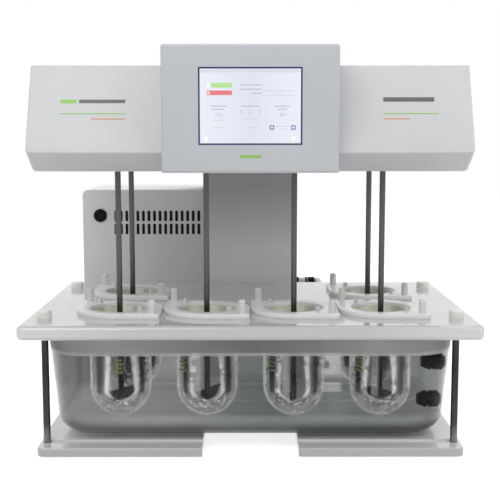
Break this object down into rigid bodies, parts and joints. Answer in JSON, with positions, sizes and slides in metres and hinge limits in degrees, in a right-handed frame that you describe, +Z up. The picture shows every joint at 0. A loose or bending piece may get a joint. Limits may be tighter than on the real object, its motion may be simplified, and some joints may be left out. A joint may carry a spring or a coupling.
{
  "type": "dissolution tester",
  "caption": "Automatic dissolution tester: glass vessels hang in a clear heated water bath and are stirred by paddles from a lifting head with a touchscreen.",
  "frame": {"origin": "on the bench, at the middle of the footprint", "axes": "+X to the right as seen from the front, +Y to the back, +Z up; the screen faces -Y"},
  "size_m": [0.75, 0.76, 0.674],
  "materials": {
    "rubber_black": "matt black rubber",
    "base_white": "glossy white lacquer on aluminium",
    "deck_white": "glossy white moulded plastic",
    "stainless": "polished stainless steel",
    "stirrer_steel": "polished stainless steel",
    "knob_cream": "glossy cream plastic",
    "bath_clear": "clear moulded plastic",
    "fitting_black": "matt black plastic",
    "pipe_milky": "satin milky plastic pipe",
    "ring_white": "satin white plastic",
    "glass_clear": "clear borosilicate glass",
    "cast_aluminium": "plain machined aluminium",
    "column_grey": "satin light grey paint",
    "housing_white": "satin white powder coat on sheet metal",
    "screen_glass": "glossy touch panel",
    "motor_black": "black painted motor shell",
    "heater_steel": "plain metal",
    "nut_bronze": "turned bronze",
    "belt_rubber": "black toothed rubber belt"
  },
  "bodies": {
    "base": {"base_pads": "rubber_black", "base_plate": "base_white", "base_sheet": "base_white", "posts": "stainless", "post_knobs": "knob_cream", "deck": "deck_white", "bath": "bath_clear", "bath_fittings": "fitting_black", "water_pipes": "pipe_milky", "ring_pegs": "ring_white", "rim_lugs": "ring_white", "column_foot": "cast_aluminium", "column_shell": "column_grey", "lift_motor": "motor_black", "circulator_chassis": "housing_white", "circulator_cover": "housing_white", "circulator_front": "housing_white", "circulator_pump": "motor_black", "circulator_heater": "heater_steel", "mains_inlet": "fitting_black", "rocker_bezel": "fitting_black", "vessel_1": "glass_clear", "vessel_2": "glass_clear", "vessel_3": "glass_clear", "vessel_4": "glass_clear", "vessel_5": "glass_clear", "vessel_6": "glass_clear", "ring_plate_1": "ring_white", "ring_plate_2": "ring_white", "ring_plate_3": "ring_white", "ring_plate_4": "ring_white", "ring_plate_5": "ring_white", "ring_plate_6": "ring_white"},
    "head": {"head_floor": "cast_aluminium", "spine_housing": "housing_white", "wing_left": "housing_white", "wing_right": "housing_white", "display_bezel": "fitting_black", "touchscreen": "screen_glass", "mast": "cast_aluminium", "lift_nut": "nut_bronze", "bearing_units": "cast_aluminium", "drive_motor": "motor_black", "drive_belt": "belt_rubber"},
    "lift_screw": {"lead_screw": "stainless"},
    "motor_pulley": {"drive_pulley": "cast_aluminium"},
    "tension_roller": {"tension_roller": "cast_aluminium"},
    "power_switch": {"power_rocker": "fitting_black"},
    "stirrer_1": {"spindle_1": "cast_aluminium", "paddle_1": "stirrer_steel"},
    "stirrer_2": {"spindle_2": "cast_aluminium", "paddle_2": "stirrer_steel"},
    "stirrer_3": {"spindle_3": "cast_aluminium", "paddle_3": "stirrer_steel"},
    "stirrer_4": {"spindle_4": "cast_aluminium", "paddle_4": "stirrer_steel"},
    "stirrer_5": {"spindle_5": "cast_aluminium", "paddle_5": "stirrer_steel"},
    "stirrer_6": {"spindle_6": "cast_aluminium", "paddle_6": "stirrer_steel"}
  },
  "joints": [
    {"name": "head_lift", "type": "slide", "parent": "base", "child": "head", "axis": [0, 0, 1], "range_m": [0, 0.2]},
    {"name": "lift_screw_turn", "type": "hinge", "parent": "base", "child": "lift_screw", "pos_m": [0, 0.176, 0.2], "axis": [0, 0, 1], "range_deg": [-10, 3700]},
    {"name": "stirrer_1_turn", "type": "hinge", "parent": "head", "child": "stirrer_1", "pos_m": [-0.225, -0.244, 0.5], "axis": [0, 0, 1], "continuous": true},
    {"name": "stirrer_2_turn", "type": "hinge", "parent": "head", "child": "stirrer_2", "pos_m": [-0.075, -0.244, 0.5], "axis": [0, 0, 1], "continuous": true},
    {"name": "stirrer_3_turn", "type": "hinge", "parent": "head", "child": "stirrer_3", "pos_m": [0.075, -0.244, 0.5], "axis": [0, 0, 1], "continuous": true},
    {"name": "stirrer_4_turn", "type": "hinge", "parent": "head", "child": "stirrer_4", "pos_m": [0.225, -0.244, 0.5], "axis": [0, 0, 1], "continuous": true},
    {"name": "stirrer_5_turn", "type": "hinge", "parent": "head", "child": "stirrer_5", "pos_m": [-0.225, -0.056, 0.5], "axis": [0, 0, 1], "continuous": true},
    {"name": "stirrer_6_turn", "type": "hinge", "parent": "head", "child": "stirrer_6", "pos_m": [0.225, -0.056, 0.5], "axis": [0, 0, 1], "continuous": true},
    {"name": "motor_pulley_turn", "type": "hinge", "parent": "head", "child": "motor_pulley", "pos_m": [0, -0.224, 0.53], "axis": [0, 0, 1], "continuous": true},
    {"name": "tension_roller_turn", "type": "hinge", "parent": "head", "child": "tension_roller", "pos_m": [0, -0.02812, 0.53], "axis": [0, 0, 1], "continuous": true},
    {"name": "power_rocking", "type": "hinge", "parent": "base", "child": "power_switch", "pos_m": [-0.316, 0.151, 0.366], "axis": [1, 0, 0], "range_deg": [-14, 0]}
  ],
  "couplings": [
    {"joint": "lift_screw_turn", "follows": "head_lift", "rad_per_m": 314.16},
    {"joint": "stirrer_2_turn", "follows": "stirrer_1_turn", "ratio": 1},
    {"joint": "stirrer_3_turn", "follows": "stirrer_1_turn", "ratio": 1},
    {"joint": "stirrer_4_turn", "follows": "stirrer_1_turn", "ratio": 1},
    {"joint": "stirrer_5_turn", "follows": "stirrer_1_turn", "ratio": 1},
    {"joint": "stirrer_6_turn", "follows": "stirrer_1_turn", "ratio": 1},
    {"joint": "motor_pulley_turn", "follows": "stirrer_1_turn", "ratio": -1.5556},
    {"joint": "tension_roller_turn", "follows": "stirrer_1_turn", "ratio": -1.4}
  ]
}
